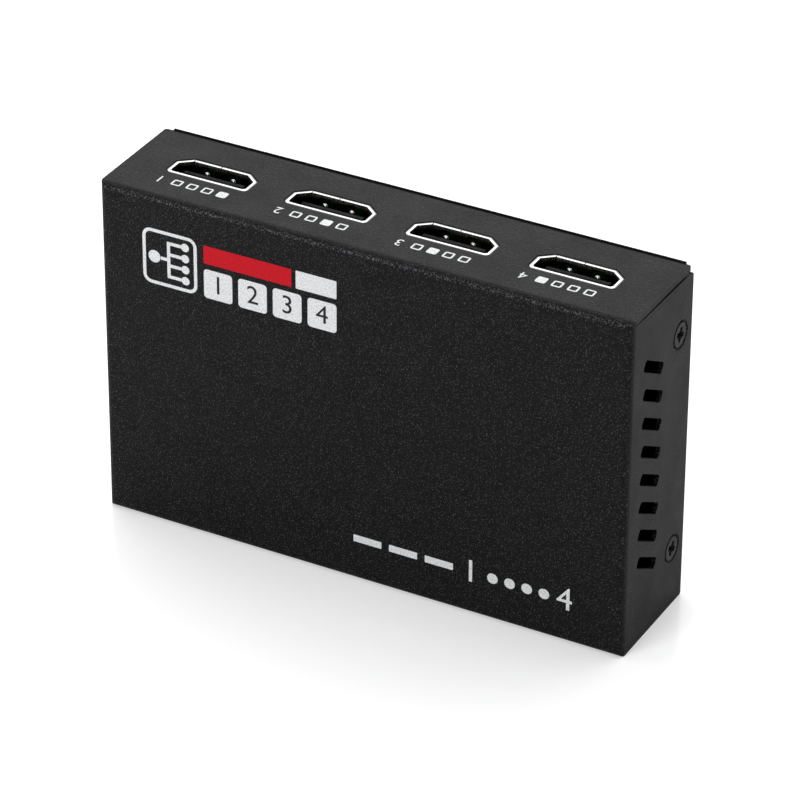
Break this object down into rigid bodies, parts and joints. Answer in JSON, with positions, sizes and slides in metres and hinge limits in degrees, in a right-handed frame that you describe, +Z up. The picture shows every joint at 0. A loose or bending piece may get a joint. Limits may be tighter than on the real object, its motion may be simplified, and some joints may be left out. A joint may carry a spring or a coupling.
{
  "type": "video splitter",
  "caption": "Video splitter in a folded black steel case: a row of output sockets, an input socket, a power socket, slanted vents and a circuit board inside.",
  "frame": {"origin": "centre of the input panel's outer face, on which the box stands", "axes": "+X along the row of output sockets, -Y out of the printed face, +Y out of the base plate, +Z up out of the output panel"},
  "size_m": [0.096, 0.024, 0.062],
  "materials": {
    "cover_coat": "matte black powder coat with a fine grain",
    "plate_coat": "matte black powder coat",
    "black_screws": "black oxide",
    "foot_rubber": "matte",
    "board_green": "green solder mask on glass fibre board",
    "brass_pillars": "machined",
    "plated_screws": "zinc plated",
    "socket_nickel": "nickel plated, bright",
    "socket_black": "moulded black plastic",
    "contact_gold": "gold flashed",
    "black_moulding": "moulded black plastic",
    "plated_pin": "nickel plated",
    "clear_lens": "water clear moulded dome",
    "tinned_leads": "tin plated",
    "chip_black": "moulded black package",
    "pad_grey": "soft grey pad",
    "sink_aluminium": "extruded, plain",
    "coil_ferrite": "pressed ferrite",
    "crystal_can": "drawn steel can",
    "can_aluminium": "drawn aluminium can",
    "resistor_black": "thick film chip",
    "ceramic_tan": "sintered ceramic",
    "fuse_green": "coated polymer fuse"
  },
  "bodies": {
    "root": {"top_cover": "cover_coat", "base_plate": "plate_coat", "cover_screws": "black_screws", "rubber_foot_1": "foot_rubber", "rubber_foot_2": "foot_rubber", "rubber_foot_3": "foot_rubber", "rubber_foot_4": "foot_rubber", "circuit_board": "board_green", "board_standoffs": "brass_pillars", "board_screws": "plated_screws", "power_jack_housing": "black_moulding", "power_jack_pin": "plated_pin", "power_jack_spring": "plated_pin", "status_lights": "clear_lens", "status_light_leads": "tinned_leads", "splitter_chip": "chip_black", "splitter_chip_leads": "tinned_leads", "thermal_pad": "pad_grey", "heat_sink": "sink_aluminium", "control_chip": "chip_black", "control_chip_leads": "tinned_leads", "memory_chip": "chip_black", "memory_chip_leads": "tinned_leads", "voltage_regulator": "chip_black", "regulator_leads": "tinned_leads", "power_coil": "coil_ferrite", "crystal": "crystal_can", "capacitor_bases": "black_moulding", "capacitor_cans": "can_aluminium", "surge_arrays": "chip_black", "line_resistors": "resistor_black", "bypass_capacitors": "ceramic_tan", "supply_fuse": "fuse_green", "supply_diode": "chip_black", "output_socket_1_shell": "socket_nickel", "output_socket_1_insulator": "socket_black", "output_socket_1_contacts": "contact_gold", "output_socket_2_shell": "socket_nickel", "output_socket_2_insulator": "socket_black", "output_socket_2_contacts": "contact_gold", "output_socket_3_shell": "socket_nickel", "output_socket_3_insulator": "socket_black", "output_socket_3_contacts": "contact_gold", "output_socket_4_shell": "socket_nickel", "output_socket_4_insulator": "socket_black", "output_socket_4_contacts": "contact_gold", "input_socket_shell": "socket_nickel", "input_socket_insulator": "socket_black", "input_socket_contacts": "contact_gold"}
  },
  "joints": []
}
